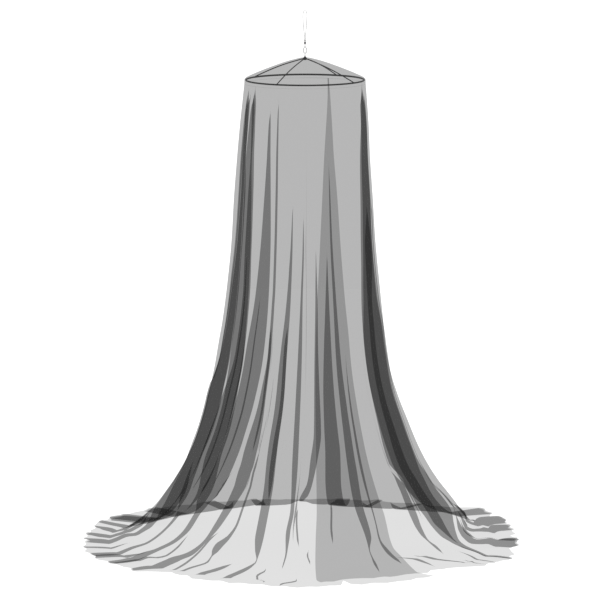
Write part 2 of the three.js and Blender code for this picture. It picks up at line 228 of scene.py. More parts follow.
bm = bmesh.new()
bmesh.ops.create_grid(bm, x_segments=1, y_segments=1, size=FLOOR_SIZE / 2)
bmesh.ops.translate(bm, vec=(0, 0, FLOOR_Z), verts=bm.verts)
floor_mesh = bpy.data.meshes.new("studio_floor")
bm.to_mesh(floor_mesh)
bm.free()
studio_floor = bpy.data.objects.new("studio_floor", floor_mesh)
scene.collection.objects.link(studio_floor)
pale, nodes, links, skin = shader("pale_floor", (FLOOR_GREY,) * 3, 1.0, specular=0.0)
skin.inputs["Emission Color"].default_value = (1, 1, 1, 1)
skin.inputs["Emission Strength"].default_value = FIELD - FLOOR_GREY
floor_mesh.materials.append(pale)
print("floor", FLOOR_SIZE, "m across")

# %% [markdown]
# ## The hanging cord
# A thin cord is tied in a long narrow loop: the top of the loop goes over the ceiling hook and
# both legs come down side by side into a small knot. It could be a swept mesh, but a curve keeps
# the route of a limp line easy to change, so it is a curve through the same points as its solid,
# with a bevel for its thickness. Against a field this bright a line as thin as this only reads
# as pale grey when the cord itself is dark.

# %% Cord
CORD_WIDTH = 2 * MM
CORD_ROUTE = [  # sideways and up from the floor, in millimetres
    (-1.3, 2549.3), (-1.3, 2560), (-2.6, 2574), (-5.4, 2592), (-7.6, 2612), (-9.2, 2634),
    (-10.3, 2656), (-10.4, 2674), (-8.2, 2687), (-4, 2694), (0, 2695), (4, 2694), (8, 2687),
    (9.8, 2674), (9.2, 2656), (8, 2634), (6.6, 2612), (4.8, 2592), (2.4, 2574), (1.3, 2560),
    (1.3, 2549.3),
]

cord_points = [Vector((x * MM, 0, z * MM - HANG_HEIGHT)) for x, z in CORD_ROUTE]
line = bpy.data.curves.new("hanging_loop", "CURVE")
line.dimensions = "3D"
line.bevel_depth = CORD_WIDTH / 2
line.bevel_resolution = 4
line.resolution_u = 10
line.use_fill_caps = True
strand = line.splines.new("BEZIER")
strand.bezier_points.add(len(cord_points) - 1)
for knot_point, place in zip(strand.bezier_points, cord_points):
    knot_point.co = place
    knot_point.handle_left_type = knot_point.handle_right_type = "AUTO"
hanging_loop = bpy.data.objects.new("hanging_loop", line)
scene.collection.objects.link(hanging_loop)

cord_yarn, nodes, links, skin = shader("twisted_cord", (0.02, 0.02, 0.02), 0.9, specular=0.0)
along = nodes.new("ShaderNodeTexCoord").outputs["Object"]
twist = texture(nodes, links, "ShaderNodeTexWave", along, Scale=260, Distortion=0.4,
                bands_direction="DIAGONAL")
tint = ramp(nodes, links, twist.outputs["Fac"], 0.1, 0.9, (0.012,) * 3, (0.030, 0.030, 0.029))
links.new(tint.outputs["Color"], skin.inputs["Base Color"])
bump(nodes, links, twist.outputs["Fac"], skin, 0.3 * MM)
line.materials.append(cord_yarn)
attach(hanging_loop, "root")
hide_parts("hanging_cord")

# %% [markdown]
# ## Black netting
# The net is knitted from black thread as thin as hair, with holes of about a millimetre and a
# half, so from a step away it is an even grey veil. Each layer lets 61 % of the light through:
# one layer over white is a pale grey, two are a mid grey, and where the cloth is folded the
# layers stack up to charcoal. Cutting millions of holes would only make noise, so the veil is a
# plain transparency on the shader, and the knit is in the colour and the bump, on the cloth's
# own map, where it follows every fold.

# %% Net material
VEIL = 0.392  # what one layer of net holds back
KNIT = 1.5 * MM  # from thread to thread
PAINTED_THREAD_GLOW = 0.010  # painted glow: the net shines this much by itself, in place of light that the threads scatter among themselves
DYE_CHANGE = 0.35  # how strongly the dye varies over the cloth

netting, nodes, links, skin = shader("black_netting", (0.003,) * 3, 0.9, specular=0.0, alpha=VEIL)
# painted light: a faint even glow of the net's own, standing in for light scattered between its threads
skin.inputs["Emission Color"].default_value = (1, 1, 1, 1)
skin.inputs["Emission Strength"].default_value = PAINTED_THREAD_GLOW
cloth_map = nodes.new("ShaderNodeTexCoord").outputs["UV"]
wave_scale = pi / 10 / KNIT  # at a scale of 1 a band of this texture is pi / 10 wide
courses = texture(nodes, links, "ShaderNodeTexWave", cloth_map, Scale=wave_scale, bands_direction="X")
wales = texture(nodes, links, "ShaderNodeTexWave", cloth_map, Scale=wave_scale, bands_direction="Y")
threads = nodes.new("ShaderNodeMath")
threads.operation = "MAXIMUM"
links.new(courses.outputs["Fac"], threads.inputs[0])
links.new(wales.outputs["Fac"], threads.inputs[1])
uneven = texture(nodes, links, "ShaderNodeTexNoise", cloth_map, Scale=9.0, Detail=3.0)
knit_color = ramp(nodes, links, threads.outputs[0], 0.35, 0.95, (0.0015,) * 3, (0.0045,) * 3)
blend = nodes.new("ShaderNodeMix")
blend.data_type = "RGBA"
blend.blend_type = "MULTIPLY"
blend.inputs["Factor"].default_value = DYE_CHANGE
links.new(knit_color.outputs["Color"], blend.inputs["A"])
links.new(uneven.outputs["Fac"], blend.inputs["B"])
links.new(blend.outputs["Result"], skin.inputs["Base Color"])
bump(nodes, links, threads.outputs[0], skin, 0.06 * MM, 0.25)
print("a layer of net lets", round(100 * (1 - VEIL)), "% of the light through")

# %% [markdown]
# ## The fall of the skirt
# Seen from the side the skirt falls almost straight from the hoop, flares below the knee and
# runs out over the floor into a shallow puddle. A cloth simulation would settle near that shape,
# but it would choose its own folds, and the folds of this net have their places. So one curve
# through a few heights gives the line of the fall, and every point of the cloth is placed on it:
# how far down the cloth it lies, its bearing round the middle, and its layer in a fold.

# %% The line of the fall
SEAM_HEIGHT = 2.3267
FALL = [  # height above the floor and distance from the middle
    (SEAM_HEIGHT, 0.3085), (2.24, 0.3165), (2.14, 0.3255), (1.94, 0.339), (1.74, 0.3545),
    (1.53, 0.3675), (1.33, 0.387), (1.12, 0.4115), (0.92, 0.441), (0.71, 0.494), (0.60, 0.531),
    (0.50, 0.569), (0.40, 0.617), (0.30, 0.679), (0.24, 0.724), (0.19, 0.762), (0.14, 0.803),
    (0.095, 0.846), (0.058, 0.887), (0.030, 0.929), (0.012, 0.965), (0.0, 1.0), (0.0, 1.105),
]
CLOTH_LIES = 1.2 * MM  # the middle of the cloth above the floor
TOUCH_DOWN = 1.0  # distance from the middle at which it lies flat
FOOT_STARTS = 0.36  # below this height the rows are closer together
ROW_HUNG = 0.033  # metres of cloth between rows where it hangs
ROW_FOOT = 0.0131  # and at its foot
ON_THE_FLOOR = 0.0005  # height below which the cloth has landed
LEAN = [  # the net hangs a little left of the hoop's middle, and its foot is pushed right
    (SEAM_HEIGHT, 0.0), (2.1, -0.002), (1.94, -0.006), (1.5, -0.011), (1.12, -0.015), (0.99, -0.0195),
    (0.84, -0.0165), (0.76, -0.012), (0.60, 0.0), (0.45, 0.004), (0.30, 0.006), (0.19, 0.010), (0.0, 0.0),
]

fall = np.array(FALL)
steps = np.hypot(*np.diff(fall, axis=0).T)
drops = np.concatenate([[0], np.cumsum(steps)])
foot_drop = float(np.interp(-FOOT_STARTS, -fall[:, 0], drops))
rows = np.concatenate([
    np.linspace(0, foot_drop, round(foot_drop / ROW_HUNG), endpoint=False),
    np.linspace(foot_drop, drops[-1], round((drops[-1] - foot_drop) / ROW_FOOT)),
])
height, out = through(np.column_stack([drops, fall]), rows).T
run_out, run_down = np.gradient(out, rows), -np.gradient(height, rows)
pace = np.hypot(run_out, run_down)
off_out, off_up = run_down / pace, run_out / pace  # which way a fold's layers lie off the cloth
mark = np.where(height > ON_THE_FLOOR, height, TOUCH_DOWN - out)  # the height, then minus the way out
print(len(rows), "rows over", round(drops[-1], 3), "m of cloth")

# %% [markdown]
# ## The folds
# Each fold is one back-and-forth pleat: the cloth runs on, turns back over itself and turns
# again, so three layers lie together between two soft bends. Waves in a plain sheet could stand
# for folds, but they would never darken the net as real layers do. The tables give, for each
# fold, its bearing and half its width at a few heights, from where it starts to where it dies
# away. Entries with no width above its start only keep its columns in order. Bearings run from
# the opening's inner edge, to the right, round the back and on to the opening's outer edge, in
# degrees from the front. Below zero a height means the distance that the cloth has run out over
# the floor.

# %% Folds at the right
HEM = -0.105  # the hem, in metres that the cloth has run out over the floor
RIGHT_FOLDS = [  # name, whether it lies within the fold before it, (height, bearing, half width)
    ("under_panel", False, [
        (2.3, 21, 0), (1.97, 19.3, 0), (1.74, 19.6, 0.7), (1.5, 20.4, 1.1), (1.25, 21.5, 1.4),
        (1.0, 22.2, 1.9), (0.75, 22.6, 2.3), (0.45, 22.1, 2.4), (0.27, 21.2, 1.9), (0.15, 21.8, 1.2),
        (0.09, 21, 0.2), (0.06, 21.3, 0.3), (0.04, 21.5, 0.5), (0, 21.8, 0),
    ]),
    ("right_curl_low", False, [
        (2.3, 34, 0), (1.94, 32, 0), (0.7, 29, 0), (0.06, 29, 0), (0.05, 31.2, 0.8), (0.04, 35.5, 1.3),
        (0.02, 38.6, 0.8), (0, 41, 0),
    ]),
    ("right_curl", False, [
        (2.3, 40, 0), (1.94, 38, 0), (0.7, 34, 0), (0.06, 35.5, 0), (0.05, 37, 0.7), (0.03, 41.6, 1.2),
        (0.015, 46.4, 1.1), (0, 50.8, 0.5), (-0.03, 53, 0),
    ]),
    ("right_strip", False, [
        (2.3, 50, 0), (1.94, 48, 0), (1.2, 44, 0), (0.7, 41, 0), (0.44, 42.2, 0), (0.36, 44.9, 2.1),
        (0.33, 45.2, 2.2), (0.23, 44, 2.2), (0.17, 43.4, 1.7), (0.13, 43.8, 1.2), (0.10, 44.8, 0.5),
        (0.075, 46.3, 0.8), (0.05, 47.2, 0.5), (0.035, 47.8, 0), (0, 52.3, 0), (HEM, 54, 0),
    ]),
    ("right_thread", False, [
        (2.3, 52, 0), (1.94, 50, 0), (1.2, 45, 0), (0.7, 41.8, 0), (0.44, 42.6, 0), (0.36, 47.2, 0),
        (0.2, 47, 0), (0.1, 48, 0), (0.06, 51.5, 0), (0.04, 54, 0.4), (0.01, 56.4, 0.7),
        (-0.05, 56.6, 0.6), (HEM, 56.2, 0.3),
    ]),
    ("right_front", False, [
        (2.32, 66, 0), (2.22, 65, 5), (1.94, 62, 8), (1.48, 59.5, 10.3), (1.25, 58.5, 13.2),
        (1.0, 62, 18), (0.73, 57, 13.6), (0.45, 55, 12.4), (0.38, 57, 10.4), (0.33, 57.4, 9.9),
        (0.23, 58, 10.6), (0.19, 58.4, 10), (0.14, 56.9, 7), (0.10, 56, 4.4), (0.075, 56.4, 2.6),
        (0.05, 57.9, 1.7), (0.01, 61.8, 1.1), (-0.05, 63, 1.2), (HEM, 62.6, 0.9),
    ]),
    ("right_front_inner", True, [
        (2.29, 61, 0), (1.75, 60, 0), (1.48, 59, 5.6), (1.2, 54, 3.2), (0.96, 53, 3.4), (0.7, 51.5, 3.3),
        (0.45, 51.3, 3.5), (0.27, 52.6, 3.2), (0.17, 53.4, 3), (0.12, 54.4, 1.6), (0.08, 55.3, 0.5),
        (0.05, 57, 0),
    ]),
    ("right_fan_front", False, [
        (2.3, 78, 0), (1.94, 76, 0), (1.25, 77, 0), (1.0, 85, 0), (0.73, 77, 0), (0.45, 73, 0),
        (0.3, 70.5, 0), (0.2, 70, 0), (0.15, 66.3, 1.6), (0.1, 62.9, 2.4), (0.08, 62.7, 2.9),
        (0.05, 66, 3.6), (0.03, 72.5, 4.4), (0.01, 79.5, 5.4), (-0.04, 81.2, 6.4), (HEM, 81.2, 6.4),
    ]),
    ("right_fan_lens", True, [
        (2.3, 78, 0), (1.25, 77, 0), (1.0, 85, 0), (0.3, 70, 0), (0.02, 81.5, 0), (-0.03, 84, 1.8),
        (-0.07, 84.6, 2.6), (HEM, 85, 1.5),
    ]),
    ("right_fan_middle", False, [
        (2.3, 88, 0), (1.94, 84, 0), (1.25, 85, 0), (1.0, 89.5, 0), (0.73, 82, 0), (0.45, 77, 0),
        (0.3, 73, 0), (0.21, 72.5, 0), (0.17, 71.6, 1.2), (0.11, 70, 2.2), (0.08, 74, 2.6), (0.06, 81, 3),
        (0.03, 92, 3.7), (0.01, 98, 4.2), (-0.04, 102.3, 4.8), (HEM, 102.5, 4),
    ]),
    ("right_fan_back", False, [
        (2.3, 96, 0), (1.94, 92, 0), (1.25, 92, 0), (1.0, 93.5, 0), (0.73, 88, 0), (0.45, 81, 0),
        (0.3, 76, 0), (0.23, 75, 0), (0.18, 75, 1.4), (0.13, 76.4, 2.2), (0.1, 80.5, 2.8),
        (0.06, 92, 3.8), (0.03, 102, 4.6), (0.01, 107.5, 5.2), (-0.05, 111.5, 5.8), (HEM, 111.5, 5.2),
    ]),
]
print(len(RIGHT_FOLDS), "folds at the right")

# %% Folds at the back
BACK_FOLDS = [  # name, whether it lies within the fold before it, (height, bearing, half width)
    ("right_back", False, [
        (2.32, 110, 0), (2.22, 112, 4.5), (1.94, 113.5, 6), (1.48, 115.5, 8), (1.25, 117.5, 9.4),
        (1.0, 116, 14.5), (0.73, 121, 11.9), (0.45, 122.8, 11), (0.27, 126, 8.5), (0.08, 127, 5.5),
        (0.0, 126, 4), (HEM, 124.5, 4.5),
    ]),
    ("back_small_right", False, [
        (2.3, 140, 0), (0.45, 144, 0), (0.08, 144.5, 0), (0.03, 144.5, 1), (0, 144.5, 1.7), (HEM, 144, 1),
    ]),
    ("back_rim_right", False, [
        (2.3, 150, 0), (0.45, 155, 0), (0.07, 156, 0), (0.03, 156, 0.8), (0, 156.5, 1.4), (HEM, 157, 1),
    ]),
    ("back_middle", False, [
        (2.3, 158, 0), (1.5, 161, 0), (1.2, 162.3, 1.4), (0.95, 163.4, 2.7), (0.68, 164.9, 3.5),
        (0.36, 166, 3.8), (0.13, 167.2, 3.7), (0, 167.5, 3.6), (HEM, 168, 2),
    ]),
    ("back_thin", False, [
        (2.3, 171, 0), (1.53, 170.8, 0), (1.25, 170.9, 0.8), (1.0, 171.5, 1.2), (0.72, 172.3, 1.7),
        (0.45, 173.2, 2), (0.3, 175.4, 1.8), (0.13, 178, 1.2), (0.05, 180, 1.4), (0, 181, 0.8),
        (-0.05, 181, 0),
    ]),
    ("back_small_left", False, [
        (2.3, 200, 0), (0.45, 197, 0), (0.08, 196.5, 0), (0.03, 196.5, 1), (0, 196, 1.8), (HEM, 195.5, 1),
    ]),
    ("back_rim_far_left", False, [
        (2.3, 212, 0), (0.45, 211, 0), (0.09, 211, 0), (0.04, 210.5, 1.2), (0, 210, 2.4), (HEM, 209, 2),
    ]),
    ("left_back", False, [
        (2.31, 237, 0), (2.2, 237, 3.6), (1.98, 237.2, 4.8), (1.73, 234.5, 5.4), (1.5, 233.5, 5.9),
        (1.2, 232.7, 6.8), (0.95, 232.2, 6.9), (0.7, 232, 6.5), (0.45, 232, 7), (0.27, 231, 6),
        (0.03, 230, 4), (HEM, 229, 3),
    ]),
    ("left_back_front", False, [
        (2.31, 244, 0), (2.2, 243.4, 3.4), (1.98, 243.6, 3.8), (1.73, 242, 3.9), (1.5, 242.3, 4.7),
        (1.2, 243.4, 5.8), (0.95, 244.6, 6.6), (0.7, 251, 12.3), (0.45, 250.5, 10.5), (0.27, 250, 8.5),
        (0.1, 247, 6), (0.0, 243.5, 5), (HEM, 243, 4.6),
    ]),
    ("left_back_inner", True, [
        (0.4, 248, 0), (0.2, 246, 2), (0.05, 245, 2.8), (-0.03, 244.4, 3), (HEM, 244.5, 2),
    ]),
]
print(len(BACK_FOLDS), "folds at the back")

# %% Folds at the left
LEFT_FOLDS = [  # name, whether it lies within the fold before it, (height, bearing, half width)
    ("left_fan_back", False, [
        (2.3, 262, 0), (1.2, 259, 0), (0.7, 262, 0), (0.27, 263, 0), (0.17, 267, 0), (0.13, 270, 1.5),
        (0.09, 270.5, 2.4), (0.05, 265.5, 2.6), (0.01, 256, 1.8), (-0.05, 253, 1.4), (HEM, 251, 1.2),
    ]),
    ("left_fan_middle", False, [
        (2.3, 268, 0), (1.2, 264, 0), (0.7, 263.5, 0), (0.27, 265.5, 0), (0.18, 271.5, 0),
        (0.14, 274, 1.4), (0.1, 277, 2.2), (0.05, 272.4, 2.4), (0.01, 263.5, 1.9), (-0.05, 259.5, 1.7),
        (HEM, 257, 1),
    ]),
    ("left_fan_front", False, [
        (2.3, 274, 0), (1.2, 269, 0), (0.7, 267, 0), (0.27, 269, 0), (0.18, 275, 0), (0.14, 278.6, 1.2),
        (0.1, 283.6, 1.8), (0.06, 280.6, 2.2), (0.01, 271.4, 2), (-0.05, 268.2, 2), (HEM, 266, 1.3),
    ]),
    ("left_front", False, [
        (2.31, 296, 0), (2.2, 296.6, 2.4), (1.98, 297.8, 2), (1.74, 301.2, 2.6), (1.5, 300.8, 3.2),
        (1.25, 300.6, 4.9), (1.0, 299.4, 6), (0.73, 289.8, 12.6), (0.51, 287.7, 10.9),
        (0.45, 287.4, 10.7), (0.375, 287.6, 10.4), (0.27, 288.2, 9.2), (0.18, 287.6, 7.6), (0.14, 289, 4),
        (0.11, 290.4, 2.4), (0.07, 288.4, 1.5), (0.02, 279.8, 2.2), (-0.04, 276.4, 2.5),
        (HEM, 274.6, 2.3),
    ]),
    ("left_thread", False, [
        (2.3, 302, 0), (1.98, 303.6, 0), (1.74, 306, 0), (1.5, 306.4, 0), (1.25, 308.3, 0),
        (1.0, 308.2, 0), (0.73, 303.4, 0), (0.51, 298.9, 0), (0.375, 298.6, 0), (0.27, 298.1, 0),
        (0.1, 296, 0), (0.05, 292, 0), (0.02, 288.6, 0.5), (-0.04, 285, 0.7), (HEM, 283.4, 0.6),
    ]),
    ("left_front_second", False, [
        (2.31, 308, 0), (2.2, 308.6, 2.2), (1.98, 310, 1.7), (1.74, 311.6, 3), (1.5, 312.4, 3.5),
        (1.25, 314.6, 3.2), (1.0, 314.4, 3.6), (0.73, 310.8, 6.2), (0.51, 307, 7.6), (0.45, 306.8, 7.6),
        (0.375, 306.9, 7), (0.28, 305.7, 6.4), (0.23, 305, 3.6), (0.19, 304.4, 0.8), (0.12, 302.8, 0.4),
        (0.06, 300, 0.4), (0.02, 295.4, 0.9), (-0.04, 293.6, 1.6), (HEM, 292.6, 1.5),
    ]),
    ("left_second_crease", True, [
        (1.5, 312.4, 0), (1.2, 314.4, 0.4), (0.7, 311.4, 0.5), (0.45, 308.8, 0.5), (0.3, 306.2, 0),
    ]),
    ("left_fork", False, [
        (2.3, 318, 0), (1.98, 319, 0), (1.74, 320.5, 0), (1.5, 320, 0), (1.25, 319.9, 0), (1.0, 318.6, 0),
        (0.75, 317.4, 0), (0.45, 315.3, 0), (0.27, 312.4, 0), (0.15, 310, 0), (0.05, 306, 0),
        (0.03, 304, 0.4), (0.0, 299.6, 1.3), (-0.05, 297.2, 1.6), (HEM, 296.2, 1.3),
    ]),
    ("left_beside", False, [
        (2.2, 328.4, 0), (1.98, 329, 1.2), (1.74, 329.5, 2.8), (1.5, 329.2, 4.3), (1.25, 328.5, 5.5),
        (1.0, 327.1, 6.5), (0.75, 325, 5.9), (0.51, 321.8, 5.4), (0.45, 321.2, 5), (0.33, 319, 4.8),
        (0.27, 316.6, 3.6), (0.22, 315.2, 1.4), (0.15, 314.4, 1.2), (0.1, 312.4, 0.9), (0.05, 307.8, 0.9),
        (0.02, 305.2, 1.8), (-0.04, 303.6, 1.4), (HEM, 302.8, 0.8),
    ]),
    ("left_beside_crease", True, [
        (1.3, 328, 0), (1.1, 327, 0.4), (0.7, 325, 0.5), (0.5, 322, 0.4), (0.33, 319, 0),
    ]),
    ("left_fork_front", False, [
        (2.3, 332, 0), (1.98, 333, 0), (1.5, 335.2, 0), (1.2, 335.6, 0), (1.0, 335.2, 0),
        (0.75, 333.4, 0), (0.5, 329, 0), (0.45, 328.2, 0), (0.27, 321, 0), (0.16, 317.4, 0),
        (0.12, 316.4, 0.3), (0.04, 313.8, 0.35), (0.01, 308.2, 0.7), (-0.04, 306.4, 0.7),
        (HEM, 305.6, 0.4),
    ]),
]
print(len(LEFT_FOLDS), "folds at the left")

# %% Folds at the front and in the overlap
FRONT_FOLDS = [  # name, whether it lies within the fold before it, (height, bearing, half width)
    ("front_left", False, [
        (2.25, 336.2, 0), (1.98, 336.6, 0.6), (1.74, 337.5, 0.75), (1.5, 337.9, 0.8), (1.25, 338.2, 0.8),
        (1.0, 337.8, 0.9), (0.77, 335.5, 1.7), (0.52, 333.3, 3.3), (0.45, 332.8, 3.2), (0.36, 331, 2.8),
        (0.27, 329, 1.9), (0.18, 326.8, 1.3), (0.11, 324.4, 0.6), (0.06, 321.4, 1.3), (0.03, 317.6, 2),
        (0.0, 315.2, 2), (-0.04, 313.8, 1.4), (HEM, 313, 0.6),
    ]),
    ("front_left_inner", True, [
        (1.15, 338.2, 0), (1.0, 338, 0.7), (0.77, 336.6, 0.6), (0.6, 335.4, 0.5), (0.5, 334.6, 0),
    ]),
    ("front_left_thread", False, [
        (2.3, 341, 0), (1.2, 340.2, 0), (0.7, 338.8, 0), (0.5, 337.4, 0), (0.45, 336.4, 0),
        (0.27, 332.4, 0), (0.18, 330, 0), (0.12, 326.6, 0.25), (0.06, 324.4, 0.3), (0.02, 322.2, 0.4),
        (-0.02, 320, 0),
    ]),
    ("front_left_low", False, [
        (2.3, 342.4, 0), (0.95, 341, 0), (0.55, 338.4, 0), (0.45, 337.4, 0.4), (0.27, 335.2, 0.4),
        (0.2, 334.8, 0.4), (0.15, 333.4, 0.7), (0.11, 331, 1.6), (0.085, 330.2, 1.3), (0.06, 329.8, 0.15),
        (0.04, 329.6, 0.3), (0.01, 325.3, 0.4), (-0.02, 322.5, 0),
    ]),
    ("front_lens", False, [
        (2.3, 345.5, 0), (1.48, 344.5, 0), (0.95, 342.2, 0), (0.7, 340.2, 0), (0.05, 338, 0),
        (0.035, 336.4, 0.6), (0.015, 333.4, 1.1), (0, 330.6, 1.1), (-0.02, 329, 0),
    ]),
    ("front_middle", False, [
        (2.3, 351, 0), (1.75, 350.6, 0), (1.5, 350.1, 0.6), (1.25, 348.7, 1.4), (1.0, 346.8, 2.1),
        (0.77, 345.6, 2.5), (0.52, 344.2, 2.4), (0.45, 344.1, 2.3), (0.27, 344.2, 1.8),
        (0.16, 344.2, 1.6), (0.1, 344.6, 0.9), (0.06, 345, 0.05), (0.04, 343.6, 0.6), (0.02, 341.4, 1),
        (0, 338.8, 1), (-0.02, 337, 0),
    ]),
    ("front_middle_inner", True, [
        (1.15, 348.6, 0), (1.0, 348, 1), (0.77, 347.2, 1), (0.52, 345.4, 1.2), (0.4, 344.9, 1),
        (0.3, 345.2, 0),
    ]),
    ("front_squiggle", False, [
        (2.3, 353.6, 0), (1.2, 351.6, 0), (0.7, 350.4, 0), (0.45, 349.6, 0), (0.08, 348.4, 0),
        (0.05, 347.6, 0), (0.03, 348.4, 0.25), (0.01, 346.6, 0.3), (-0.01, 348, 0.3),
        (-0.04, 349.4, 0.25), (-0.06, 349, 0),
    ]),
    ("front_right", False, [
        (2.3, 358.2, 0), (1.7, 358.7, 0), (1.5, 358.6, 0.5), (1.25, 357.6, 0.8), (1.0, 356.8, 1.3),
        (0.77, 356, 1.5), (0.52, 355.3, 1.5), (0.45, 355.2, 1.4), (0.27, 355, 0.8), (0.17, 354, 0.8),
        (0.1, 354, 0.3), (0.05, 353.4, 0.15), (0.03, 353, 0),
    ]),
    ("front_hem_crease", False, [
        (2.3, 360.4, 0), (1.2, 360.2, 0), (0.45, 358, 0), (0.2, 355.8, 0), (0.02, 357.4, 0),
        (0, 357.6, 0.25), (-0.06, 354.4, 0.3), (HEM, 353.7, 0),
    ]),
    ("front_crease", False, [
        (2.3, 361.4, 0), (1.2, 360.8, 0), (0.45, 359.4, 0), (0.3, 357.6, 0), (0.24, 356.8, 0.3),
        (0.15, 357.4, 0.3), (0.11, 358, 0), (0, 359, 0), (HEM, 359, 0),
    ]),
    ("front_tick", False, [
        (2.3, 365, 0), (0.45, 362, 0), (0.11, 361, 0), (0.085, 360.6, 0.25), (0.06, 361.2, 0.25),
        (0.045, 361.4, 0),
    ]),
    ("over_crease", False, [
        (2.3, 371, 0), (0.32, 370, 0), (0.28, 369.9, 0.4), (0.17, 368.9, 0.4), (0.12, 368.9, 0),
    ]),
    ("over_panel", False, [
        (2.3, 377, 0), (1.9, 379, 0), (1.05, 387, 0), (0.7, 386.4, 0.7), (0.45, 386.2, 0.8),
        (0.27, 385.8, 0.4), (0.2, 385.4, 0.3), (0.13, 384.8, 0.4), (0.08, 386, 0.9), (0.05, 387.4, 0.8),
        (0.025, 389, 0),
    ]),
]
print(len(FRONT_FOLDS), "folds at the front and in the overlap")

# %% All folds, and the two free edges at the opening
FOLDS = RIGHT_FOLDS + BACK_FOLDS + LEFT_FOLDS + FRONT_FOLDS
UNDER_EDGE = [  # height and bearing of the inner panel's edge
    (SEAM_HEIGHT, 21.5), (1.96, 15.7), (1.44, 10.3), (1.2, 7.9), (0.93, 6.2), (0.45, 4.7), (0.27, 4.0),
    (0.15, 3.1), (0.02, 2.6), (HEM, 3.6),
]
OVER_EDGE = [  # and of the outer panel's, more than a full turn on
    (SEAM_HEIGHT, 382), (1.98, 383.6), (1.73, 386.1), (1.49, 388), (1.25, 389.4), (1.0, 391.1),
    (0.77, 391.3), (0.54, 391), (0.4, 391), (0.25, 390.6), (0.1, 388.9), (0.05, 390.5), (HEM, 393.5),
]
print("the panels lap", round(OVER_EDGE[0][1] - 360 - UNDER_EDGE[0][1], 1), "degrees at the seam and",
      round(OVER_EDGE[-1][1] - 360 - UNDER_EDGE[-1][1], 1), "at the hem")

# %% [markdown]
# ## From folds to columns
# One row of the cloth is a line that runs round and doubles back at each fold. Each row could be
# drawn by itself, but then its points wouldn't line up with the next row's. So a few guide
# columns stand at the two bends of each fold, with even ones between, and a soft spline is run
# along them. Its weights are the same in every row, so the columns of the grid stay in order
# from the seam to the hem.

# %% Where each fold lies and what it lies on
WIDEST_SPAN = 7.5  # degrees between guide columns
CORNER = 1.6  # degrees, the most that a bend's roundness takes
BEND = 0.45  # and the most that it takes of half the fold's width
SMALL_FOLD = 3  # degrees of half width below which a fold has one guide column for each bend
ASLEEP = 0.12  # degrees between the columns of a fold that hasn't started
START_EASE = 0.1  # metres in which a fold forms, at most
EASE_SHARE = 0.35  # and the most that it takes of the fold's own length
END_EASE = 0.02  # metres in which it dies away, at most
BESIDE, APART = 0.8, 3.6  # degrees between folds where one still lies on the other, and no longer


def awake(way):
    """How far a fold is formed in each row: 0 outside its stretch and 1 well inside it."""
    wide = [place for place, _, half in way if half > 0]
    places = [place for place, _, _ in way]
    start = min((p for p in places if p > max(wide)), default=max(wide))
    end = max((p for p in places if p < min(wide)), default=None)
    ease = min(START_EASE, EASE_SHARE * (start - min(wide)))
    share = soft_steps(start, start - ease, mark)
    if end is not None:
        share = share * soft_steps(end, end + min(ease, END_EASE), mark)
    return share


folds = []
for _, within, way in FOLDS:
    centre, half = through(way, mark).T
    widest = max(w for _, _, w in way)
    folds.append({"within": within, "centre": centre, "half": half, "share": awake(way), "most": widest})

top_layer, right_end = np.zeros_like(mark), np.full_like(mark, -360.0)
for before, fold in zip([None] + folds, folds):
    if fold["within"]:
        reach = np.maximum(before["half"] - fold["half"], 0)
        fold["centre"] = np.clip(fold["centre"], before["centre"] - reach, before["centre"] + reach)
    clear = fold["centre"] - fold["half"] - right_end
    near = 1.0 if fold["within"] else 1 - soft_steps(BESIDE, APART, clear)
    fold["base"] = near * top_layer
    top_layer = fold["base"] + 2 * fold["share"]
    fold["right"] = fold["centre"] + fold["half"]
    if fold["within"]:
        fold["right"] = np.maximum(fold["right"], right_end)
    right_end = fold["right"]
deepest = max(float(np.max(fold["base"] + 2 * fold["share"])) for fold in folds)
print(len(folds), "folds, up to", round(deepest, 1), "layers off the cloth")

# %% How a row runs from guide to guide
guides = []


def run(to_bearing, to_layer, count):
    """Even guide columns from the last one to a new one, which is added too."""
    from_bearing, from_layer = guides[-1]
    for k in range(1, count + 1):
        share = k / count
        guides.append((from_bearing + (to_bearing - from_bearing) * share,
                       from_layer + (to_layer - from_layer) * share))


def spans(width):
    """How many stretches between guide columns a width in degrees needs."""
    return max(1, int(np.ceil(np.max(width) / WIDEST_SPAN)))


def turn(fold, parent):
    """The guide columns of one fold's two bends, all at one bearing while it is asleep."""
    centre, half, share, base = fold["centre"], fold["half"], fold["share"], fold["base"]
    corner = np.minimum(BEND * half, CORNER)
    left, right = centre - half, centre + half
    across = spans(2 * fold["most"])
    shape = [(right - corner, 0), (right, 0), (right, 1), (right - corner, 1)]
    for k in range(1, across):
        shape.append((right - corner - 2 * (half - corner) * k / across, 1))
    shape += [(left + corner, 1), (left, 1), (left, 2), (left + corner, 2)]
    if fold["most"] < SMALL_FOLD:
        shape = [(right, 0), (right, 1), (centre, 1), (left, 1), (left, 2)]
    behind = (1 - parent["share"]) * (len(shape) + 3) if parent else 0
    for k, (bearing, layer) in enumerate(shape):
        resting = centre + (k + behind - (len(shape) - 1) / 2) * ASLEEP
        shape[k] = (resting + (bearing - resting) * share, base + layer * share)
    return shape


# %% From one free edge of the skirt, over every fold, to the other
EDGE = 0.35  # degrees between the guide columns that hold a free edge
LEAVE = 0.2  # degrees before its right-hand bend at which the cloth leaves a fold's top
SETTLE = 1.4  # degrees in which it comes down from there
SETTLE_LEAST = 0.3  # the share of them that a sleeping fold still takes

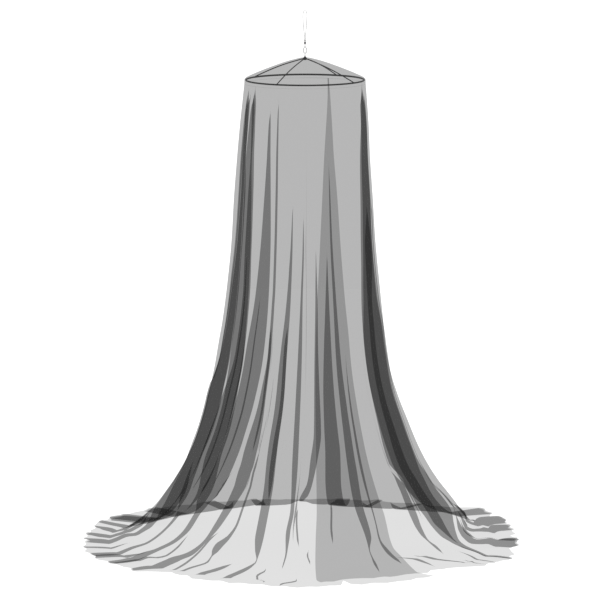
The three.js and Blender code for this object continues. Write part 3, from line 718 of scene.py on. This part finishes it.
under = through(UNDER_EDGE, mark)[:, 0]
over = through(OVER_EDGE, mark)[:, 0]
zero = np.zeros_like(mark)
guides += [(under, zero), (under + EDGE, zero), (under + 2 * EDGE, zero)]
for k, fold in enumerate(folds):
    shape = turn(fold, folds[k - 1] if fold["within"] else None)
    if not fold["within"]:
        run(shape[0][0], fold["base"], spans(shape[0][0] - guides[-1][0]))
        guides.pop()
    guides.extend(shape)
    following = folds[k + 1] if k + 1 < len(folds) else None
    if following and following["within"]:
        continue
    landing = following["base"] if following else zero
    upper = fold["base"] + 2 * fold["share"]
    leave = np.maximum(fold["right"] - LEAVE, guides[-1][0] + ASLEEP)
    run(leave, upper, spans(2 * fold["most"]))
    settle = SETTLE * np.maximum(fold["share"], SETTLE_LEAST)
    guides.append((np.maximum(fold["right"], leave) + settle, landing))
run(over - 2 * EDGE, zero, spans(over - guides[-1][0]))
guides += [(over - EDGE, zero), (over, zero)]
guide_bearing = np.array([g[0] for g in guides]).T
guide_layer = np.array([np.broadcast_to(g[1], mark.shape) for g in guides]).T
print(len(guides), "guide columns")

# %% Spline weights
COLUMNS_A_SPAN = 2


def spline_weights(count, steps):
    """How much of each guide goes into each column: the weights of an even cubic spline."""
    places = np.arange((count - 3) * steps + 1) / steps
    first = np.minimum(places.astype(int), count - 4)
    t = places - first
    parts = [(1 - t) ** 3, 3 * t**3 - 6 * t**2 + 4, -3 * t**3 + 3 * t**2 + 3 * t + 1, t**3]
    weights = np.zeros((count, len(places)))
    for k, part in enumerate(parts):
        weights[first + k, np.arange(len(places))] = part / 6
    return weights


weights = spline_weights(len(guides), COLUMNS_A_SPAN)
bearing, layer = guide_bearing @ weights, guide_layer @ weights
print(bearing.shape[1], "columns,", 2 * (len(rows) - 1) * (bearing.shape[1] - 1), "triangles")

# %% [markdown]
# ## Laying out the hem
# The puddle's edge isn't round. It reaches furthest at the back right, where a corner of the net
# points away, and it is drawn in at the opening. A circle with noise would be quicker, but it
# would put the corners in other places, so a table of bearings gives how far out the hem lies.
# The foot above it leans out or in with it, small waves make it uneven, and each layer of a fold
# lies a little further out than the one beneath.

# %% Hem reach and layer spacing
HEM_REACH = [  # bearing, metres from the middle
    (3.7, 1.00), (17, 0.95), (23, 0.97), (37, 0.97), (44, 0.99), (48, 1.03), (61, 1.105), (70, 1.085),
    (76, 1.07), (90, 1.080), (108, 1.135), (118, 1.18), (124, 1.225), (129, 1.265), (133, 1.22),
    (141, 1.14), (160, 1.11), (180, 1.09), (200, 1.11), (220, 1.14), (231, 1.16), (247, 1.155),
    (261, 1.14), (274, 1.118), (283, 1.125), (292, 1.13), (299, 1.11), (314, 1.098), (322, 1.027),
    (332, 1.049), (340, 1.065), (349, 1.056), (356, 1.116), (363, 1.115), (368, 1.095), (369.7, 1.023),
    (371, 1.124), (375, 1.103), (378, 1.063), (380, 1.116), (385, 1.10), (391, 1.09), (394, 1.063),
]
HEM_SHARE = [(SEAM_HEIGHT, 0), (0.22, 0), (0.0, 0.4), (HEM, 1)]  # height, share of the hem's reach
TOUCH_REACH = [  # bearing, and how much nearer to the middle the cloth meets the floor there
    (0, 0), (100, 0), (140, -0.060), (146, -0.085), (153, -0.105), (165, -0.125), (172, -0.090),
    (177, -0.065), (180, 0.010), (182, 0.005), (186, -0.085), (192, -0.095), (199, -0.075),
    (209, -0.110), (222, -0.125), (235, -0.115), (247, -0.095), (256, -0.030), (266, 0), (396, 0),
]
TOUCH_SHARE = [(SEAM_HEIGHT, 0), (0.40, 0), (0.12, 0.75), (0.0, 1), (HEM, 0)]  # the same for the touch
HEM_WAVES = [(23, 8, 20), (41, 8, 130), (67, 8, 250)]  # waves in a turn, millimetres, degrees
RAGGED = 7 * MM  # how far each layer of a fold sticks out past the hem beneath it
LAYER_GAP = [  # height, metres from one layer of a fold to the next
    (SEAM_HEIGHT, 0.0012), (2.26, 0.003), (2.1, 0.0037), (0.2, 0.0037), (HEM, 0.0030),
]
OVERLAP = (350, 364)  # bearings between which the outer panel comes off the inner one
OVERLAP_LAYERS = 2.9  # and how many layers' gaps it ends up off it
SWAY = [  # millimetres, waves in a turn, degrees, radians in a metre of cloth
    (2.6, 3, 40, 1.9), (1.7, 7, 15, -3.3), (0.8, 13, 0, 6.1),
]
SWAY_FULL = 2.0  # height below which the cloth sways fully
SWAY_ENDS = (-0.05, 0.05)  # where the floor stills it

reach = through(HEM_REACH, bearing)[..., 0] - FALL[-1][1]
touch = through(TOUCH_REACH, bearing)[..., 0]
waves = sum(deep * MM * np.sin(np.radians(count * bearing + phase)) for count, deep, phase in HEM_WAVES)
uneven_hem = (RAGGED * np.clip(layer, 0, 2) + waves) * soft_steps(0.0, HEM, mark)[:, None]
drawn = reach * through(HEM_SHARE, mark) + touch * through(TOUCH_SHARE, mark) + uneven_hem
hem_ways = [way_out for _, way_out in HEM_REACH]
print("hem from", min(hem_ways), "to", max(hem_ways), "m from the middle")

# %% Each point of the cloth in space
layer = layer + OVERLAP_LAYERS * soft_steps(*OVERLAP, bearing)
gap = through(LAYER_GAP, mark)
sway = sum(
    deep * MM * np.sin(np.radians(count * bearing + phase) + drift * rows[:, None])
    for deep, count, phase, drift in SWAY
)
hung = soft_steps(SEAM_HEIGHT, SWAY_FULL, mark) * soft_steps(*SWAY_ENDS, mark)
stand = layer * gap + sway * hung[:, None]
radius = out[:, None] + stand * off_out[:, None] + drawn
level = height[:, None] + stand * off_up[:, None] + CLOTH_LIES
angle = np.radians(bearing)
places = np.stack([
    radius * np.sin(angle) + through(LEAN, mark) * np.sin(angle) ** 2,
    -radius * np.cos(angle),
    np.maximum(level, CLOTH_LIES) + FLOOR_Z,
], axis=-1)
puddle = np.ptp(places, axis=(0, 1))
print("puddle", round(float(puddle[0]), 3), "m wide and", round(float(puddle[1]), 3), "m deep")

# %% [markdown]
# ## The skirt's sheet
# A flat grid is a sheet that Blender knows how to make, with its rows and columns in order, so
# the skirt is one grid whose points move to the places worked out above. The cloth's own map is
# laid on it in metres, along each row and down the fall, so that the knit keeps its size.

# %% Skirt
bm = bmesh.new()
row_count, column_count = bearing.shape
bmesh.ops.create_grid(bm, x_segments=column_count - 1, y_segments=row_count - 1, size=0.5)
for vert, place in zip(bm.verts, places[::-1].reshape(-1, 3)):
    vert.co = place
across = np.zeros((row_count, column_count))
across[:, 1:] = np.cumsum(np.linalg.norm(np.diff(places, axis=1), axis=2), axis=1)
across -= across[:, column_count // 2][:, None]
cloth_uv = np.stack([across, np.broadcast_to(-rows[:, None], across.shape)], axis=-1)[::-1].reshape(-1, 2)
layer_uv = bm.loops.layers.uv.new("cloth")
bm.verts.index_update()
for face in bm.faces:
    for corner in face.loops:
        corner[layer_uv].uv = cloth_uv[corner.vert.index]
skirt = finish_piece(bm, "skirt_sheet", netting, replaces=["skirt_net"], closed=False)

# %% [markdown]
# ## The roof net
# The roof is a round of the same net, stretched from the hub over the ribs to the hoop, where it
# turns down and is sewn to the skirt. It could be a grid as the skirt is, but it has no folds, so
# a profile from the hub to that seam, spun once round the middle, is enough.

# %% Turning a profile


def turned(bm, outline, steps=40):
    """A shape turned round the middle from (radius, height above the floor) places in metres."""
    chain = [bm.verts.new((r, 0, z - HANG_HEIGHT)) for r, z in outline]
    edges = [bm.edges.new(pair) for pair in zip(chain, chain[1:])]
    bmesh.ops.spin(bm, geom=chain + edges, axis=(0, 0, 1), cent=(0, 0, 0), angle=2 * pi,
                   steps=steps, use_merge=True)


# %% Roof
ROOF = [  # distance from the middle and height above the floor, in metres
    (0.0, 2.4596), (0.015, 2.4591), (0.050, 2.4515), (0.100, 2.4370), (0.150, 2.4192), (0.200, 2.4000),
    (0.250, 2.3795), (0.288, 2.3622), (0.300, 2.3560), (0.3065, 2.3500), (0.3085, 2.3420), (0.3085, 2.3270),
]
ROOF_STEPS = 96
ROOF_FINE = 3  # rings between two places of the profile

bm = bmesh.new()
stations = np.array(ROOF)
ways = np.concatenate([[0], np.cumsum(np.hypot(*np.diff(stations, axis=0).T))])
fine = np.interp(np.arange((len(ROOF) - 1) * ROOF_FINE + 1) / ROOF_FINE, range(len(ROOF)), ways)
profile = through(np.column_stack([ways, stations]), fine)
turned(bm, profile, ROOF_STEPS)
layer_uv = bm.loops.layers.uv.new("cloth")
for face in bm.faces:
    for corner in face.loops:
        corner[layer_uv].uv = corner.vert.co.xy
roof = finish_piece(bm, "roof_sheet", netting, replaces=["roof_net"])

# %% [markdown]
# ## Painted steel
# The hoop, the ribs and the hub are steel in satin black paint. A plain black would do at this
# size, but it looks like plastic from close by, so the paint has a faint orange-peel texture and
# a little dust.

# %% Frame material
paint, nodes, links, skin = shader("satin_black_paint", (0.030, 0.030, 0.032), 0.42)
spot = nodes.new("ShaderNodeTexCoord").outputs["Object"]
peel = texture(nodes, links, "ShaderNodeTexNoise", spot, Scale=900.0, Detail=2.0)
dust = texture(nodes, links, "ShaderNodeTexNoise", spot, Scale=22.0, Detail=5.0)
paint_color = ramp(nodes, links, dust.outputs["Fac"], 0.35, 0.75,
                   (0.024, 0.024, 0.026), (0.048, 0.047, 0.046))
links.new(paint_color.outputs["Color"], skin.inputs["Base Color"])
gloss = ramp(nodes, links, dust.outputs["Fac"], 0.3, 0.8, (0.36,) * 3, (0.62,) * 3)
links.new(gloss.outputs["Color"], skin.inputs["Roughness"])
bump(nodes, links, peel.outputs["Fac"], skin, 0.05 * MM, 0.5)

# %% [markdown]
# ## Hoop, ribs and hub
# The hoop is one rod bent round, and a small hub in the middle carries it on four ribs. A curve
# with a bevel could make a rod too, but circles set across a route and bridged one to the next
# keep its section true and close on themselves. The hub is turned, as it would be on a lathe.

# %% Places, rods and eyes
EYE_RADIUS = 3.4 * MM  # to the middle of the wire
EYE_WIRE = 2.2 * MM
EYE_PLACES, EYE_SIDES = 40, 12


def full_turn(count):
    """Even angles all the way round, in radians."""
    return [2 * pi * k / count for k in range(count)]


def at(out, bearing, up):
    """A place a way out from the middle, at a bearing from the front and a height above the floor."""
    return Vector((out * sin(radians(bearing)), -out * cos(radians(bearing)), up - HANG_HEIGHT))


def rod(bm, route, radius, normal, closed=False, sides=16):
    """A round rod swept along a route that lies in the plane across the normal."""
    rings = []
    for k, here in enumerate(route):
        before = route[k - 1] if k or closed else here
        after = route[(k + 1) % len(route)] if closed or k + 1 < len(route) else here
        ahead = (after - before).normalized()
        facing = Matrix((-normal, ahead.cross(normal), -ahead)).transposed().to_4x4()
        end = not closed and k in (0, len(route) - 1)
        ring = bmesh.ops.create_circle(bm, segments=sides, radius=radius, cap_ends=end,
                                       matrix=Matrix.Translation(here) @ facing)
        rings.append({edge for vert in ring["verts"] for edge in vert.link_edges})
    for ring, following in zip(rings, rings[1:] + (rings[:1] if closed else [])):
        bmesh.ops.bridge_loops(bm, edges=list(ring | following))


def eye(bm, height):
    """A small wire eye that stands across the ring."""
    middle = height - HANG_HEIGHT
    route = [Vector((0, EYE_RADIUS * cos(a), EYE_RADIUS * sin(a) + middle)) for a in full_turn(EYE_PLACES)]
    rod(bm, route, EYE_WIRE / 2, Vector((1, 0, 0)), closed=True, sides=EYE_SIDES)


# %% Hoop
HOOP_RADIUS = 0.300
HOOP_HEIGHT = 2.345
HOOP_ROD = 8.6 * MM
HOOP_STEP = 2.5  # degrees

bm = bmesh.new()
route = [at(HOOP_RADIUS, b, HOOP_HEIGHT) for b in np.arange(0, 360, HOOP_STEP)]
rod(bm, route, HOOP_ROD / 2, Vector((0, 0, 1)), closed=True)
finish_piece(bm, "hoop_rod", paint, replaces=["hoop"])

# %% [markdown]
# The four ribs run out from the hub just under the net, almost straight, with a slight bow, and
# end against the inside of the hoop. A loop makes them, because they differ only in bearing.

# %% Ribs
RIB_BEARINGS = {"rib_1": 121.4, "rib_2": 209.8, "rib_3": 301.4, "rib_4": 31.4}
RIB_ROD = 5.4 * MM
RIB_INNER, RIB_OUTER = 0.0083, 0.2946
RIB_TOP, RIB_END = 2.4535, 2.3475
RIB_BOW = 8 * MM
RIB_PLACES = 33

for name, b in RIB_BEARINGS.items():
    bm = bmesh.new()
    route = []
    for t in np.linspace(0, 1, RIB_PLACES):
        rise = RIB_TOP + (RIB_END - RIB_TOP) * t + RIB_BOW * sin(pi * t)
        route.append(at(RIB_INNER + (RIB_OUTER - RIB_INNER) * t, b, rise))
    rod(bm, route, RIB_ROD / 2, at(1, b + 90, HANG_HEIGHT))
    finish_piece(bm, name + "_rod", paint, replaces=[name])

# %% Hub
HUB = [  # radius and height in millimetres
    (0, 2447), (7, 2447), (8, 2448), (8, 2457), (9.5, 2457.5), (9.5, 2459.2), (6, 2460.4), (5, 2464),
    (2.2, 2466), (2.0, 2473.6), (1.4, 2474.6), (0, 2474.6),
]
HUB_EYE = 2.4790

bm = bmesh.new()
turned(bm, [(r * MM, z * MM) for r, z in HUB])
eye(bm, HUB_EYE)
finish_piece(bm, "hub_and_eye", paint, replaces=["hub"])

# %% [markdown]
# ## Ring, bead and knot
# A teardrop ring of steel wire links the hub's eye to the eye under a small dark bead, and the
# cord's two legs come out of a tight three-turn knot on top of the bead. A real knot could be
# tied as a curve, but at 8 mm tall its wraps are a ripple, so it is turned like the bead.

# %% Ring
steel, nodes, links, skin = shader("brushed_steel", (0.10, 0.10, 0.105), 0.34, metallic=1.0)
spot = nodes.new("ShaderNodeTexCoord").outputs["Object"]
brushed = texture(nodes, links, "ShaderNodeTexNoise", spot, Scale=600.0, Detail=3.0)
steel_gloss = ramp(nodes, links, brushed.outputs["Fac"], 0.3, 0.7, (0.26,) * 3, (0.44,) * 3)
links.new(steel_gloss.outputs["Color"], skin.inputs["Roughness"])
bump(nodes, links, brushed.outputs["Fac"], skin, 0.05 * MM, 0.4)
RING_TOP, RING_BOTTOM = 2.515, 2.480
RING_HALF_WIDTH = 10 * MM
RING_WIRE = 3 * MM
RING_TAPER = 0.22  # how much narrower it is at the top, and wider at the bottom, than an oval
RING_PLACES = 72

bm = bmesh.new()
tall = (RING_TOP - RING_BOTTOM) / 2 - RING_WIRE / 2
middle = (RING_TOP + RING_BOTTOM) / 2 - HANG_HEIGHT
route = []
for a in full_turn(RING_PLACES):
    wide = (RING_HALF_WIDTH - RING_WIRE / 2) * (1 - RING_TAPER * cos(a))
    route.append(Vector((wide * sin(a), 0, middle + tall * cos(a))))
rod(bm, route, RING_WIRE / 2, Vector((0, 1, 0)), closed=True)
finish_piece(bm, "teardrop_ring", steel, replaces=["link_ring"])

# %% Bead
BEAD = [  # radius and height in millimetres
    (0, 2518.4), (1.6, 2518.6), (1.8, 2526), (2.4, 2527.4), (3.6, 2527.7), (4.6, 2528.8), (5, 2530.6),
    (5, 2536), (4.5, 2537.8), (3.4, 2539), (1.8, 2539.4), (1.5, 2540.7), (0, 2540.7),
]
BEAD_EYE = 2.5159

bead_plastic, nodes, links, skin = shader("bead_plastic", (0.022, 0.022, 0.024), 0.35)
spot = nodes.new("ShaderNodeTexCoord").outputs["Object"]
scuffs = texture(nodes, links, "ShaderNodeTexNoise", spot, Scale=350.0, Detail=4.0)
scuff_gloss = ramp(nodes, links, scuffs.outputs["Fac"], 0.4, 0.7, (0.28,) * 3, (0.55,) * 3)
links.new(scuff_gloss.outputs["Color"], skin.inputs["Roughness"])
bump(nodes, links, scuffs.outputs["Fac"], skin, 0.04 * MM, 0.3)
bm = bmesh.new()
turned(bm, [(r * MM, z * MM) for r, z in BEAD])
eye(bm, BEAD_EYE)
finish_piece(bm, "bead_and_eye", bead_plastic, replaces=["cord_stop"])

# %% Knot
KNOT_BOTTOM, KNOT_TOP = 2541.0, 2549.0  # millimetres, as the next three are
KNOT_END = 1.5  # radius where it ends
KNOT_BELLY = 1.3  # how much thicker it is in the middle
KNOT_WRAP = 0.6  # how far each turn of cord stands out
KNOT_TURNS = 3
KNOT_PLACES = 37

bm = bmesh.new()
wraps = [(0, KNOT_BOTTOM)]
for t in np.linspace(0, 1, KNOT_PLACES):
    belly = KNOT_END + KNOT_BELLY * sin(pi * t) ** 0.5
    rise = KNOT_BOTTOM + (KNOT_TOP - KNOT_BOTTOM) * t
    wraps.append((belly + KNOT_WRAP * abs(sin(KNOT_TURNS * pi * t)), rise))
wraps.append((0, KNOT_TOP))
turned(bm, [(r * MM, z * MM) for r, z in wraps])
finish_piece(bm, "three_turn_knot", cord_yarn, replaces=["cord_knot"])
